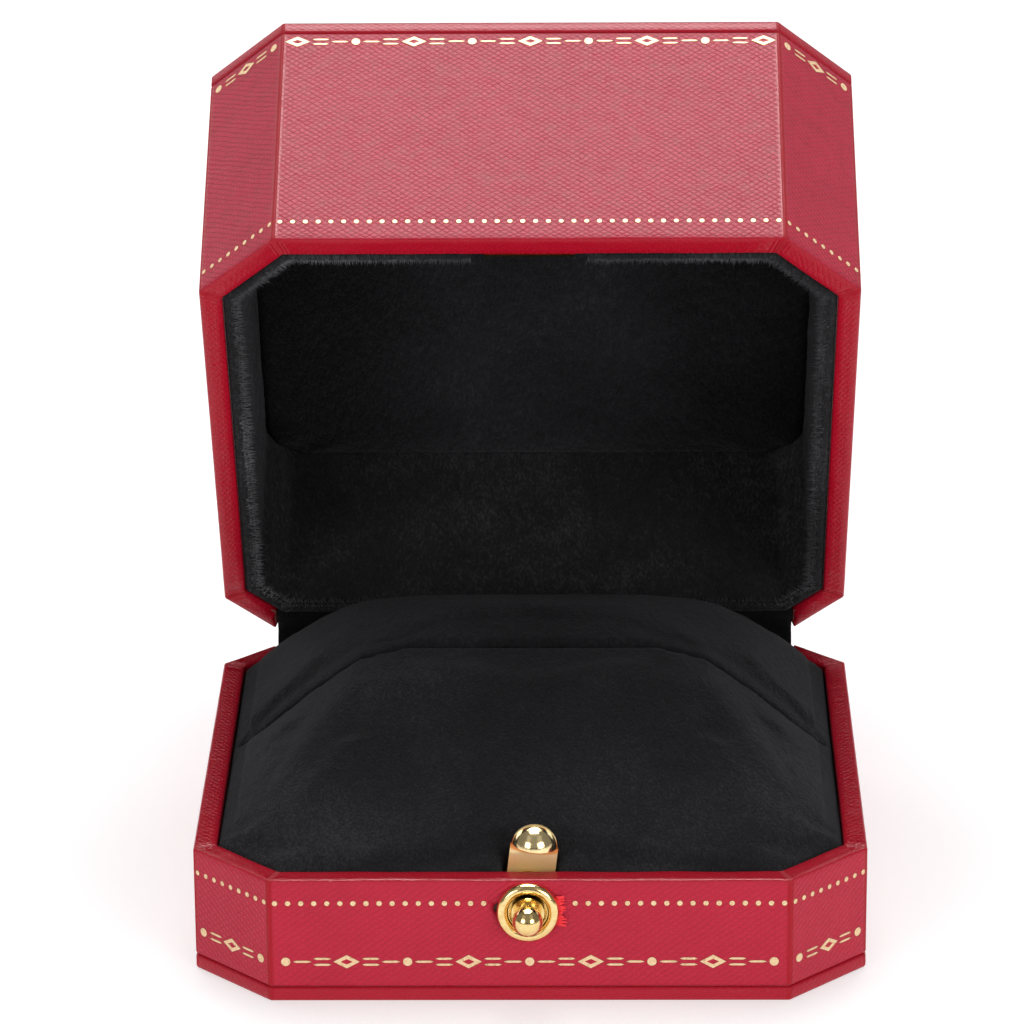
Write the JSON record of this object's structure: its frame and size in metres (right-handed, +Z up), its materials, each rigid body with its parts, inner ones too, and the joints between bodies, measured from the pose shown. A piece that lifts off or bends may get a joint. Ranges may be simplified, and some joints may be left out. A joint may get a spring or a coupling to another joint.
{
  "type": "ring box",
  "caption": "Eight-sided presentation box for a ring: leatherette shell, plush cushion with a slot, sprung hinged lid and push-button catch.",
  "frame": {"origin": "centre of the base's flat underside", "axes": "+X to the right of someone facing the button, +Y from the button towards the hinge, +Z up; the lid is stored open by 60 degrees"},
  "size_m": [0.088, 0.1232, 0.1102],
  "materials": {
    "leatherette": "satin, fine cross-hatched grain",
    "greyboard": "matte",
    "fibreboard": "matte",
    "velvet": "plush nap",
    "foam": "matte open-cell foam",
    "brass": "polished",
    "steel": "plain"
  },
  "bodies": {
    "base": {"base_board": "greyboard", "base_board_cover": "leatherette", "base_frame": "fibreboard", "base_wrap": "leatherette", "cushion_tray": "greyboard", "cushion_foam_front": "foam", "cushion_foam_back": "foam", "cushion_velvet_front": "velvet", "cushion_velvet_back": "velvet", "eyelet": "brass", "eyelet_washer": "brass", "latch_foot": "brass", "latch_foot_nails": "brass", "hinge_leaf_base": "steel", "hinge_nails_base": "steel", "hinge_pin": "steel", "hinge_springs": "steel", "hinge_cloth_base": "velvet", "spine_cover": "leatherette"},
    "lid": {"lid_board": "greyboard", "lid_board_cover": "leatherette", "lid_frame": "fibreboard", "lid_wrap": "leatherette", "lid_lining_card": "greyboard", "lid_lining_velvet": "velvet", "lid_pad_foam": "foam", "lid_pad_velvet": "velvet", "hinge_leaf_lid": "steel", "hinge_nails_lid": "steel", "hinge_cloth_lid": "velvet", "striker_plate": "brass", "striker_nails": "brass"},
    "button": {"push_button": "brass"},
    "latch": {"latch_tongue": "brass"}
  },
  "joints": [
    {"name": "lid_hinge", "type": "hinge", "parent": "base", "child": "lid", "pos_m": [0, 0.0433, 0.0172], "axis": [-1, 0, 0], "range_deg": [-60, 0], "stiffness_Nm_per_rad": 0.028, "springref_deg": 30.37},
    {"name": "button_press", "type": "slide", "parent": "base", "child": "button", "axis": [0, 1, 0], "range_m": [0, 0.0012], "stiffness_N_per_m": 600, "springref_m": -0.0005},
    {"name": "latch_flex", "type": "hinge", "parent": "base", "child": "latch", "pos_m": [-0.00119, -0.03625, 0.00509], "axis": [-0.9925, 0, 0.1219], "range_deg": [0, 8.6]}
  ],
  "couplings": [
    {"joint": "latch_flex", "follows": "button_press", "rad_per_m": 125}
  ]
}
